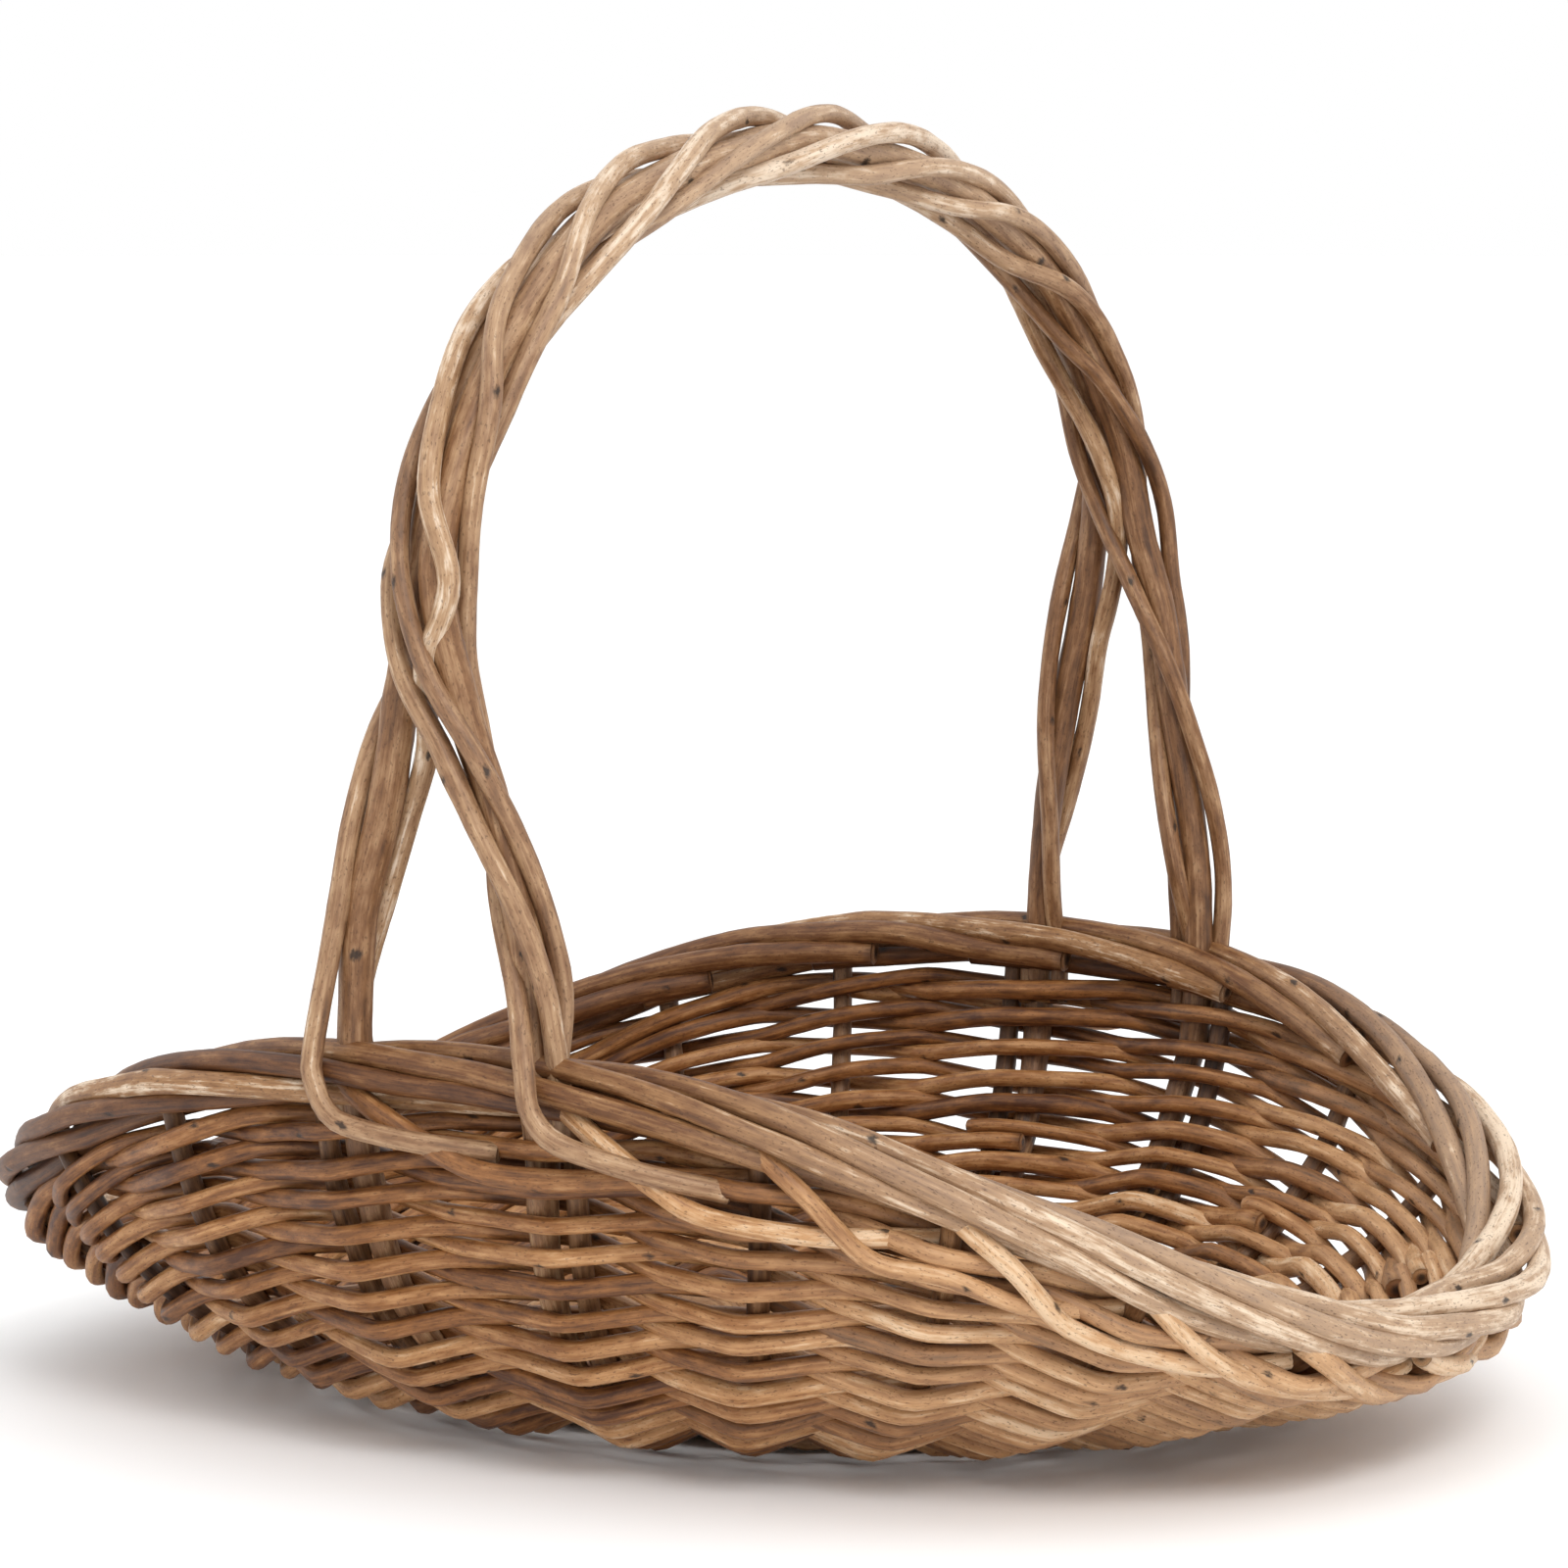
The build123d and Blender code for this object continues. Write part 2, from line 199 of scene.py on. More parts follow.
# Shares by which a rod's thickness varies, slowly along it and from point to point.
UNEVEN_THICKNESS = 0.018
ROUGHNESS = 0.008


def smooth_noise(n, length, period, scale, columns=1):
    """Slow random waves along a rod, of about this period and size, in metres."""
    knots = max(4, int(length / period) + 3)
    rough = random.normal(0, scale, (knots, columns))
    at = np.linspace(0, knots - 1.001, n)
    k = at.astype(int)
    w = (at - k)[:, None]
    w = w * w * (3 - 2 * w)
    return rough[k] * (1 - w) + rough[np.minimum(k + 1, knots - 1)] * w


def resample(points, step):
    """The same smooth path with evenly spaced points."""
    points = np.asarray(points, float)
    travel = np.concatenate([[0], np.cumsum(np.linalg.norm(np.diff(points, axis=0), axis=1))])
    n = max(4, int(round(travel[-1] / step)) + 1)
    at = np.linspace(0, travel[-1], n)
    return np.stack([np.interp(at, travel, points[:, k]) for k in range(3)], 1), travel[-1]


def smooth_path(points, step=0.002):
    """Catmull-Rom curve through a few points, sampled finely."""
    p = np.asarray(points, float)
    p = np.vstack([2 * p[0] - p[1], p, 2 * p[-1] - p[-2]])
    out = []
    for k in range(1, len(p) - 2):
        n = max(3, int(np.linalg.norm(p[k + 1] - p[k]) / step))
        w = np.linspace(0, 1, n, endpoint=False)[:, None]
        a, b, c, d = p[k - 1], p[k], p[k + 1], p[k + 2]
        out.append(0.5 * (2 * b + (c - a) * w + (2 * a - 5 * b + 4 * c - d) * w**2
                          + (3 * b - a - 3 * c + d) * w**3))
    out.append(p[-2][None])
    return np.vstack(out)


def carried_frames(points):
    """Two unit vectors across the path at each point, carried along without twist."""
    tangent = unit(np.gradient(points, axis=0))
    first = np.cross(tangent[0], [0.3, 0.2, 0.93])
    side = [unit(first)]
    for k in range(1, len(points)):
        v = side[-1] - tangent[k] * np.dot(side[-1], tangent[k])
        side.append(unit(v))
    side = np.array(side)
    return tangent, side, np.cross(tangent, side)


class Piece:
    """Collects tubes into one mesh, with the attributes that the willow material reads."""

    def __init__(self, name):
        self.name = name
        self.verts, self.faces, self.grain, self.tone, self.knot, self.pale = [], [], [], [], [], []
        self.count = 0

    def rod(self, points, radius, tip=None, sides=12, step=0.0035, wobble=0.0003, tone=None,
            pale=0.0):
        """One willow rod along a path, tapering from radius to tip or by a list of radii."""
        points, length = resample(points, step)
        n = len(points)
        points = points + smooth_noise(n, length, 0.03, wobble, 3)
        profile = [radius, tip] if tip is not None else np.atleast_1d(radius)
        radius = float(np.max(profile))
        along = np.linspace(0, length, n)
        r = np.interp(np.linspace(0, 1, n), np.linspace(0, 1, len(profile)), profile)
        r = r * (1 + smooth_noise(n, length, 0.02, UNEVEN_THICKNESS)[:, 0])
        tangent, side, other = carried_frames(points)
        angle = np.arange(sides) / sides * math.tau
        knot = np.zeros((n, sides))
        swell = np.zeros((n, sides))
        where = random.uniform(0.01, 0.05)
        while where < length:
            facing = random.uniform(0, math.tau)
            turned = np.abs((angle - facing + math.pi) % math.tau - math.pi)
            near = np.exp(-((along - where) / BUD_LONG) ** 2)[:, None]
            wide = np.exp(-((along - where) / SWELLING_LONG) ** 2)[:, None]
            facing_bud = np.exp(-(turned / SWELLING_WIDE) ** 2)[None]
            knot += near * np.exp(-(turned / BUD_WIDE) ** 2)[None]
            swell += wide * (SWELLING_ROUND + SWELLING_AT_BUD * facing_bud)
            where += random.uniform(*BUD_SPACING)
        ring = np.cos(angle)[None, :, None] * side[:, None]
        ring = ring + np.sin(angle)[None, :, None] * other[:, None]
        rough = 1 + swell + random.normal(0, ROUGHNESS, (n, sides))
        body = points[:, None] + ring * (r[:, None] * rough)[..., None]
        start = random.uniform(0, 50)
        grain = np.stack([
            np.broadcast_to(np.cos(angle) * radius, (n, sides)),
            np.broadcast_to(np.sin(angle) * radius, (n, sides)),
            np.broadcast_to((along + start)[:, None], (n, sides)),
        ], -1)
        base = self.count
        rows = np.arange(n - 1)[:, None] * sides
        cols = np.arange(sides)[None]
        nxt = (cols + 1) % sides
        quads = np.stack([rows + cols, rows + nxt, rows + nxt + sides, rows + cols + sides], -1)
        self.faces += (quads.reshape(-1, 4) + base).tolist()
        tone = random.uniform(0, 1) if tone is None else tone
        self.verts.append(body.reshape(-1, 3))
        self.grain.append(grain.reshape(-1, 3))
        self.knot.append(np.clip(knot, 0, 1).reshape(-1))
        self.tone.append(np.full(n * sides, tone))
        pale = np.atleast_1d(pale)
        pale = np.interp(np.linspace(0, 1, n), np.linspace(0, 1, len(pale)), pale)
        self.pale.append(np.repeat(pale, sides))
        self.count += n * sides
        for end, direction, flip in ((0, -1, True), (n - 1, 1, False)):
            self.cap(points[end], tangent[end] * direction, body[end], grain[end], tone, flip,
                     base + end * sides)

    def cap(self, middle, direction, edge, grain, tone, flip, first):
        """Slightly domed, darker cut end with a rounded edge."""
        sides = len(edge)
        size = np.linalg.norm(edge[0] - middle)
        inner = middle + (edge - middle) * 0.82 + direction * size * 0.16
        core = (middle + direction * size * 0.2)[None]
        base = self.count
        self.verts.append(np.vstack([inner, core]))
        self.grain.append(np.vstack([grain * 0.8, grain.mean(0)[None]]))
        self.tone.append(np.full(sides + 1, tone))
        self.knot.append(np.concatenate([np.full(sides, 0.25), [0.9]]))
        self.pale.append(np.full(sides + 1, 0.1))
        self.count += sides + 1
        for k in range(sides):
            m = (k + 1) % sides
            quad = [first + k, base + k, base + m, first + m]
            tri = [base + k, base + sides, base + m]
            self.faces.append(quad if not flip else quad[::-1])
            self.faces.append(tri if not flip else tri[::-1])

    def build(self, material, slot):
        """The piece as a Blender object that rides on the basket's one body."""
        mesh = bpy.data.meshes.new(self.name)
        verts = np.vstack(self.verts)
        mesh.from_pydata(verts.tolist(), [], self.faces)
        for name, values in (("tone", self.tone), ("knot", self.knot), ("pale", self.pale)):
            mesh.attributes.new(name, "FLOAT", "POINT").data.foreach_set(
                "value", np.concatenate(values).astype(np.float32))
        mesh.attributes.new("grain", "FLOAT_VECTOR", "POINT").data.foreach_set(
            "vector", np.vstack(self.grain).astype(np.float32).ravel())
        mesh.polygons.foreach_set("use_smooth", [True] * len(mesh.polygons))
        mesh.update()
        obj = bpy.data.objects.new(self.name, mesh)
        bpy.context.scene.collection.objects.link(obj)
        mesh.materials.append(material)
        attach(obj, "root")
        return obj


# ---------------------------------------------------------------- materials
# A rod's colour comes from its palette, by a value to which each pattern adds this much.
TONE_WEIGHT = 0.45
BLOTCH_WEIGHT = 0.58
STREAK_WEIGHT = 0.80
PATCH_WEIGHT = 0.75
PALE_WEIGHT = 0.30

# The palette's four colours stand at these values. Spots have its darkest colour, and bud
# scars are darker still.
PALETTE_PLACES = (0.16, 0.46, 0.74, 0.95)
SPOT_STRENGTH = 0.55
SCAR_STRENGTH = 0.88
SCAR_DARKNESS = 0.16
BUMP_HEIGHT = 0.0004


def willow(name, dark, mid, light, bleached):
    """Bark-stripped willow: lengthwise streaks, blotches, fine speckle and dark bud scars."""
    material = bpy.data.materials.new(name)
    material.use_nodes = True
    tree = material.node_tree
    nodes, links = tree.nodes, tree.links
    shader = nodes["Principled BSDF"]

    def attribute(which):
        node = nodes.new("ShaderNodeAttribute")
        node.attribute_name = which
        return node

    def stretched_noise(across, along, detail, rough):
        mapping = nodes.new("ShaderNodeMapping")
        mapping.inputs["Scale"].default_value = (across, across, along)
        noise = nodes.new("ShaderNodeTexNoise")
        noise.inputs["Scale"].default_value = 1.0
        noise.inputs["Detail"].default_value = detail
        noise.inputs["Roughness"].default_value = rough
        links.new(grain.outputs["Vector"], mapping.inputs["Vector"])
        links.new(mapping.outputs["Vector"], noise.inputs["Vector"])
        return noise.outputs["Fac"]

    def ramp(value, stops):
        node = nodes.new("ShaderNodeValToRGB")
        while len(node.color_ramp.elements) < len(stops):
            node.color_ramp.elements.new(0.5)
        for element, (place, colour) in zip(node.color_ramp.elements, stops):
            element.position = place
            element.color = (*colour, 1)
        links.new(value, node.inputs["Fac"])
        return node.outputs["Color"]

    def maths(operation, a, b, clamp=False):
        node = nodes.new("ShaderNodeMath")
        node.operation = operation
        node.use_clamp = clamp
        for socket, value in zip(node.inputs, (a, b)):
            if isinstance(value, (int, float)):
                socket.default_value = value
            else:
                links.new(value, socket)
        return node.outputs["Value"]

    def mix(factor, a, b):
        node = nodes.new("ShaderNodeMix")
        node.data_type = "RGBA"
        sockets = (node.inputs["Factor"], node.inputs["A"], node.inputs["B"])
        for socket, value in zip(sockets, (factor, a, b)):
            if isinstance(value, (int, float)):
                socket.default_value = value
            elif isinstance(value, tuple):
                socket.default_value = (*value, 1)
            else:
                links.new(value, socket)
        return node.outputs["Result"]

    grain = attribute("grain")
    tone = attribute("tone").outputs["Fac"]
    knot = attribute("knot").outputs["Fac"]
    pale = attribute("pale").outputs["Fac"]
    blotch = stretched_noise(170, 30, 4, 0.6)
    patch = stretched_noise(420, 120, 3, 0.6)
    streak = stretched_noise(900, 32, 4, 0.65)
    speck = stretched_noise(1900, 800, 2, 0.5)
    streaks = maths("SUBTRACT", streak, 0.49)
    patches = maths("SUBTRACT", patch, 0.5)
    value = maths("MULTIPLY", tone, TONE_WEIGHT)
    value = maths("ADD", value, maths("MULTIPLY", blotch, BLOTCH_WEIGHT))
    value = maths("ADD", value, maths("MULTIPLY", streaks, STREAK_WEIGHT))
    value = maths("ADD", value, maths("MULTIPLY", patches, PATCH_WEIGHT))
    # The pale attribute lightens the colour and fades it to the bleached colour. It holds the paler
    # +X end, which is partly painted light, and the pale top of the handle. Where it is below zero,
    # it holds painted shade on the far side.
    value = maths("ADD", value, maths("MULTIPLY", pale, PALE_WEIGHT), clamp=True)
    colour = ramp(value, list(zip(PALETTE_PLACES, (dark, mid, light, bleached))))
    faded = mix(0.4, bleached, colour)
    colour = mix(maths("MULTIPLY", pale, 0.6, clamp=True), colour, faded)
    spots = ramp(speck, [(0.60, (0, 0, 0)), (0.68, (1, 1, 1))])
    colour = mix(maths("MULTIPLY", spots, SPOT_STRENGTH), colour, dark)
    scar = maths("MULTIPLY", knot, maths("ADD", speck, 0.55))
    scar = ramp(scar, [(0.38, (0, 0, 0)), (0.72, (1, 1, 1))])
    scar_colour = tuple(c * SCAR_DARKNESS for c in dark)
    colour = mix(maths("MULTIPLY", scar, SCAR_STRENGTH), colour, scar_colour)
    links.new(colour, shader.inputs["Base Color"])
    rough = maths("ADD", maths("MULTIPLY", streak, 0.22), 0.40)
    links.new(rough, shader.inputs["Roughness"])
    shader.inputs["Specular IOR Level"].default_value = 0.42
    height = maths("ADD", maths("MULTIPLY", streak, 0.8), maths("MULTIPLY", speck, 0.3))
    height = maths("SUBTRACT", height, maths("MULTIPLY", scar, 0.7))
    bump = nodes.new("ShaderNodeBump")
    bump.inputs["Strength"].default_value = 0.5
    bump.inputs["Distance"].default_value = BUMP_HEIGHT
    links.new(height, bump.inputs["Height"])
    links.new(bump.outputs["Normal"], shader.inputs["Normal"])
    return material


WEAVE = willow(
    "weave_willow",
    dark=(0.066, 0.019, 0.004),
    mid=(0.256, 0.101, 0.027),
    light=(0.480, 0.252, 0.104),
    bleached=(0.690, 0.490, 0.310),
)
# The stakes' willow is a darker copy of the weave's: painted shade on the stakes, which stand in
# the wall behind and between the weavers.
STAKE = willow(
    "stake_willow",
    dark=(0.045, 0.016, 0.005),
    mid=(0.125, 0.053, 0.018),
    light=(0.260, 0.130, 0.055),
    bleached=(0.420, 0.270, 0.145),
)
BORDER = willow(
    "border_willow",
    dark=(0.048, 0.014, 0.004),
    mid=(0.148, 0.057, 0.017),
    light=(0.310, 0.158, 0.063),
    bleached=(0.720, 0.570, 0.420),
)
HANDLE = willow(
    "handle_willow",
    dark=(0.065, 0.024, 0.007),
    mid=(0.200, 0.090, 0.034),
    light=(0.400, 0.238, 0.122),
    bleached=(0.720, 0.585, 0.450),
)
BASE = willow(
    "base_willow",
    dark=(0.055, 0.020, 0.006),
    mid=(0.180, 0.078, 0.027),
    light=(0.320, 0.168, 0.072),
    bleached=(0.500, 0.340, 0.195),
)


# ---------------------------------------------------------------- wall weaving
# Paleness towards the +X end, partly bleached wood and partly painted light from that end; painted
# shade darkens the far side.
END_BLEACH_AND_PAINTED_LIGHT = 0.7
FAR_SHADE = 0.06
CORNER_SHARPNESS = 0.985

# Each end of a weaver passes a stake, on the inside, by this share of a gap. There it moves
# this far inward, and this far up or down, out of the way of the weaver's other end.
ENDS_PASS = 0.11
ENDS_INWARD = 0.0012
ENDS_APART = 0.0018

# Weavers swing wider round the stakes beside the handle's feet, by this share. Between stakes
# they rise and fall by this share of a row as they twist, and they run this unevenly.
WIDER_AT_FEET = 0.18
UP_AND_DOWN = 0.26
UNEVENNESS = 0.0006


def smooth_step(x):
    """0 up to x = 0, 1 from x = 1, and an S-curve between them."""
    x = np.clip(x, 0, 1)
    return x * x * (3 - 2 * x)


def bleach_and_painted_light(points):
    """Paleness along a rod: paler towards the +X end, partly bleached wood and partly painted
    light, and painted shade making the far side a little darker.
    """
    sun = smooth_step((points[:, 0] / RIM_A - 0.25) / 0.7) * END_BLEACH_AND_PAINTED_LIGHT
    shade = smooth_step((points[:, 1] / RIM_B + 0.2) / 0.9) * FAR_SHADE
    return sun - shade * (1 - sun)


def bent_wave(phase):
    """Zigzag between 1 and -1 with slightly rounded corners, as a rod bent round stakes."""
    return np.arcsin(CORNER_SHARPNESS * np.cos(phase)) / math.asin(CORNER_SHARPNESS)


def weaver_row(row):
    """A pair of weavers that twist round every stake, one row of the wall."""
    share = (row + 0.5) / ROWS
    f = FIRST_ROW + (1 - FIRST_ROW) * share * (1 + ROW_CROWDING - ROW_CROWDING * share)
    pieces = []
    for strand in range(2):
        begin = 2 * random.integers(0, COUNT // 2) + 1 - strand
        u = np.linspace(begin - ENDS_PASS, begin + COUNT + ENDS_PASS, COUNT * 24)
        t = stop_angle(u)
        phase = math.pi * (u + strand)
        at_foot = np.isin(np.round(u) % COUNT, FEET_STOPS)
        reach = (STAKE_R + WEAVER_R) * (1 + WIDER_AT_FEET * at_foot)
        drift = smooth_noise(len(u), 1.0, 0.05, UNEVENNESS)[:, 0]
        past_end = np.maximum(begin - u, u - begin - COUNT)
        inside = -ENDS_INWARD * np.clip(past_end / 0.25 + 1, 0, 1) ** 2
        apart = ENDS_APART * np.sign(u - begin - COUNT / 2) * smooth_step(past_end / 0.6 + 1)
        point, up, out = wall_frame(t, np.full_like(t, f))
        lift = bent_wave(phase - math.pi / 2) * row_pitch(t) * UP_AND_DOWN + drift + apart
        path = point + out * (bent_wave(phase) * reach + inside)[:, None] + up * lift[:, None]
        thick = WEAVER_R * random.uniform(0.90, 1.12)
        piece = Piece(f"weaver_row_{row + 1:02d}_{'ab'[strand]}")
        piece.rod(path, thick * 1.06, thick * 0.90, step=0.003, wobble=0.00022,
                  pale=bleach_and_painted_light(path))
        pieces.append(piece)
    return pieces


def band_of(row):
    """CAD band that a row of weaving stands in for."""
    share = (row + 0.5) / ROWS
    return "foot_wale" if share < 0.3 else "side_weave" if share < 0.65 else "top_wale"


def wall_weaving():
    """All rows of weaving, from the base to the border."""
    for row in range(ROWS):
        for piece in weaver_row(row):
            woven = piece.build(WEAVE, "weave_willow")
            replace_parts(woven, band_of(row))


# ---------------------------------------------------------------- side stakes
STAKE_INNER_END = np.array([0.72, 0.72, 1])


def side_stakes():
    """Upright stakes, from inside the edge of the base up the wall into the border."""
    for number, t in enumerate(STAKES, 1):
        f = np.linspace(-0.02, 1.03, 24)
        path = wall(np.full_like(f, t), f)
        inner = wall(np.array([t]), np.array([0.0]))[0] * STAKE_INNER_END
        path = np.vstack([inner, path])
        piece = Piece(f"stake_{number:02d}")
        piece.rod(smooth_path(path), STAKE_R * 1.05, STAKE_R * 0.9,
                  tone=random.uniform(0.1, 0.8))
        stake = piece.build(STAKE, "stake_willow")
        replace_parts(stake, f"side_stake_{number:02d}")


wall_weaving()
side_stakes()


# ---------------------------------------------------------------- base
BASE_Z = 0.0084
BASE_ROD_R = 0.0030
BASE_WEAVER_R = 0.0023
BASE_ROWS = 11

# Places of the sticks at the middle of the base. Their ends are fanned out, the ends of the
# short ones by a factor and those of the long ones by an angle round the base's outline. The
# short ones run this far below the base's middle level, and the long ones as far above it.
CROSS_STICKS = (-0.045, -0.027, -0.009, 0.009, 0.027, 0.045)
CROSS_FAN = 1.13
LONG_STICKS = (-0.0115, -0.0040, 0.0040, 0.0115)
LONG_FAN = 0.42
STICK_SPLIT = 0.002

# Half axes of the oval that the rows leave open, how far they stop short of the base's edge,
# and how far a strand sways to either side of its row.
INNER_ROW = (0.056, 0.019)
EDGE_ROW_INSIDE = 0.002
ROW_SWAY = 0.0016


def base_stick_ends():
    """Parameter angles at which the base sticks cross the rows, in order round the base."""
    ends = []
    for x in CROSS_STICKS:
        c = math.copysign((abs(x) * 1.12 / FOOT_A) ** (SQUARENESS / 2), x)
        ends += [math.acos(c), -math.acos(c)]
    for number in range(len(LONG_STICKS)):
        k = number - 1.5
        ends += [k * LONG_FAN, math.pi - k * LONG_FAN]
    return np.sort(np.array(ends) % math.tau)


BASE_STOPS = base_stick_ends()


def base_sticks():
    """Short sticks across the base, and long ones along it on top of them, fanned at the ends."""
    low, high = BASE_Z - STICK_SPLIT, BASE_Z + STICK_SPLIT
    for number, x in enumerate(CROSS_STICKS, 1):
        reach = FOOT_B * 0.97
        end = x * CROSS_FAN
        path = [(end, -reach, BASE_Z), (x, -0.02, low), (x, 0.02, low), (end, reach, BASE_Z)]
        piece = Piece(f"base_stick_across_{number}")
        piece.rod(smooth_path(path), BASE_ROD_R, BASE_ROD_R * 0.9)
        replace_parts(piece.build(BASE, "base_willow"), f"base_cross_stick_{number}")
    for number, y in enumerate(LONG_STICKS, 1):
        k = number - 2.5
        (end_x,), (end_y,) = oval(np.array([k * LONG_FAN]), FOOT_A * 0.96, FOOT_B * 0.96)
        path = [(-end_x, end_y, BASE_Z), (-0.05, y, high), (0.05, y, high), (end_x, end_y, BASE_Z)]
        piece = Piece(f"base_stick_long_{number}")
        piece.rod(smooth_path(path), BASE_ROD_R, BASE_ROD_R * 0.9)
        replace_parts(piece.build(BASE, "base_willow"), f"base_long_stick_{number}")


def base_rows():
    """Pairs of thin weavers that go over and under the ends of the base sticks."""
    ring = np.append(BASE_STOPS, BASE_STOPS[0] + math.tau)
    stops = len(BASE_STOPS)
    for row in range(BASE_ROWS):
        share = (row + 0.5) / BASE_ROWS
        a = INNER_ROW[0] + (FOOT_A - EDGE_ROW_INSIDE - INNER_ROW[0]) * share
        b = INNER_ROW[1] + (FOOT_B - EDGE_ROW_INSIDE - INNER_ROW[1]) * share
        piece = Piece(f"base_row_{row + 1:02d}")
        for strand in range(2):
            u = np.linspace(0, stops, stops * 14)
            t = np.interp(u, np.arange(stops + 1), ring)
            x, y = oval(t, a, b)
            phase = math.pi * (u + strand)
            spread = np.sin(phase) * ROW_SWAY
            swing = np.sign(np.cos(phase)) * np.abs(np.cos(phase)) ** 0.8
            height = BASE_Z + swing * (BASE_ROD_R + BASE_WEAVER_R * 0.95)
            outward = unit(np.stack([x / a**2, y / b**2], -1))
            across = outward * spread[:, None]
            path = np.stack([x + across[:, 0], y + across[:, 1], height], -1)
            piece.rod(path, BASE_WEAVER_R, BASE_WEAVER_R * 0.95, wobble=0.0002)
        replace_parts(piece.build(BASE, "base_willow"), "base_weave")


base_sticks()
base_rows()

# ---------------------------------------------------------------- border
# Each border rod runs past this many stops. On its way it turns round the middle of the
# border, this far outward and upward from it, back from this angle by this turn.
BORDER_ROD_R = 0.0034
BORDER_SPAN = 5.2
LAY_OUT = 0.0086
LAY_UP = 0.0052
LAY_START = math.radians(205)
LAY_TURN = math.radians(330)

# No tracs, the short strands under the border, start further towards -X than this.
TRACS_FROM = -0.030


def border_frame(u):
    """Middle of the border at stop numbers u, with unit vectors outward and up."""
    t = stop_angle(u)
    point = rim(t)
    along = unit(rim(t + 2e-3) - rim(t - 2e-3))
    level = unit(along * np.array([1, 1, 0]))
    out = np.stack([level[:, 1], -level[:, 0], np.zeros(len(level))], -1)
    up = np.cross(out, along)
    up = up * np.sign(up[:, 2:3])
    return point, out, up


def border_rods():
    """Long rods laid side by side round the edge in a slow rope lay."""
    names = ["border_outer_low", "border_outer_high", "border_inner_low", "border_inner_high",
             "border_middle_front_low", "border_middle_front_high",
             "border_middle_back_low", "border_middle_back_high"]
    for j in range(COUNT):
        u = np.linspace(j - 0.2, j + BORDER_SPAN, 150)
        point, out, up = border_frame(u)
        swing = LAY_START - (u - j) / BORDER_SPAN * LAY_TURN
        size = 1 + smooth_noise(len(u), 0.27, 0.06, 0.05)[:, 0]
        path = point + out * (np.cos(swing) * LAY_OUT * size)[:, None]
        path = path + up * (np.sin(swing) * LAY_UP * size)[:, None]
        thick = BORDER_ROD_R * random.uniform(0.9, 1.06)
        piece = Piece(f"border_rod_{j + 1:02d}")
        piece.rod(path, thick, thick * 0.8, sides=14, step=0.003,
                  pale=bleach_and_painted_light(path) * 1.25 - 0.04)
        rod = piece.build(BORDER, "border_willow")
        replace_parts(rod, names[j % len(names)])


def on_wall(u, rise, out):
    """Point beside the top of the wall: rise up the slope from its head, and out from it."""
    t = stop_angle(u)
    _, turn, head = wall_corners(t)
    f = 1 + rise / (2 * np.linalg.norm(head - turn, axis=-1))
    point, _, outward = wall_frame(t, f)
    return point + outward * out[:, None]


def border_tracs():
    """Short slanting strands that come out under the border and run along the top row.

    Each is set by its height up the wall and its distance out from it, at a few stop numbers
    past its start. They lie flatter at the ends of the basket, and none is left of the handle.
    """
    for j in range(COUNT):
        if rim(stop_angle(j + 0.6))[0] < TRACS_FROM:
            continue
        key = np.array([-0.10, 0.12, 0.38, 0.62, 0.78, 1.05, 1.45, 1.80, 2.00])
        side = 0.45 + 0.55 * np.sin(stop_angle(j + key)) ** 2
        rise = np.array([10.0, 6.0, -1.0, -8.8, -11.8, -11.2, -8.5, -6.0, -5.0]) / 1000
        rise = rise + random.normal(0, 0.0007, len(key))
        out = np.array([-2.0, 4.5, 9.0, 10.2, 10.2, 9.6, 8.5, 2.5, -3.0]) / 1000 * side
        path = on_wall(j + key, rise * side, out)
        thick = WEAVER_R * random.uniform(1.0, 1.2)
        piece = Piece(f"border_trac_{j + 1:02d}")
        piece.rod(smooth_path(path), thick, thick * 0.9, pale=bleach_and_painted_light(path) + 0.05)
        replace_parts(piece.build(WEAVE, "weave_willow"), "top_wale")


border_rods()
border_tracs()

# ---------------------------------------------------------------- handle
# Two cores run over the arch, a little askew to the basket, and part into two legs on each side.
SKEW = math.radians(6.2)
ALONG = np.array([math.sin(SKEW), math.cos(SKEW), 0])
ACROSS = np.array([math.cos(SKEW), -math.sin(SKEW), 0])
UP = np.array([0, 0, 1.0])
HANDLE_X = 0.012
ARCH_HALF = 0.153
SPRING_Z = 0.215
ARCH_RISE = 0.1145

# The cores lie this far from the middle of the rope, and turn about it by up to this angle in
# radians. Below these heights, on the near and the far side, they part into legs.
CORE_R = 0.0042
CORE_TIP_R = 0.0026
CORE_OFFSET = 0.0041
CORE_SWAY = 0.45
SPLIT_NEAR = 0.222
SPLIT_FAR = 0.255
SPLIT_SOFTNESS = 0.02

# The wraps wind round both cores, going once round in this length, this far out beside and
# above them. Their bends are partly sharp. They leave the legs this far above the border, or
# higher where their ends go on outside it.
WRAP_R = 0.0027
WRAP_PITCH = 0.228
WRAP_WIDE = 0.0102
WRAP_HIGH = 0.0077
WRAP_SHARPNESS = 0.65
END_CLEAR = 0.014
TAIL_CLEAR = 0.036
WRAP_PALER = 0.12


def arch_path():
    """Middle line of the handle from the near border over the arch to the far border."""
    leg = np.linspace(RIM_HIGH, SPRING_Z, 240, endpoint=False)
    upright = np.full(len(leg), ARCH_HALF)
    swing = np.linspace(math.pi, 0, 700)
    reach = np.concatenate([-upright, ARCH_HALF * np.cos(swing), upright])
    height = np.concatenate([leg, SPRING_Z + ARCH_RISE * np.sin(swing), leg[::-1]])
    flat = np.stack([reach, height, np.zeros_like(reach)], -1)
    even, length = resample(flat, 0.0025)
    return even[:, :2], length


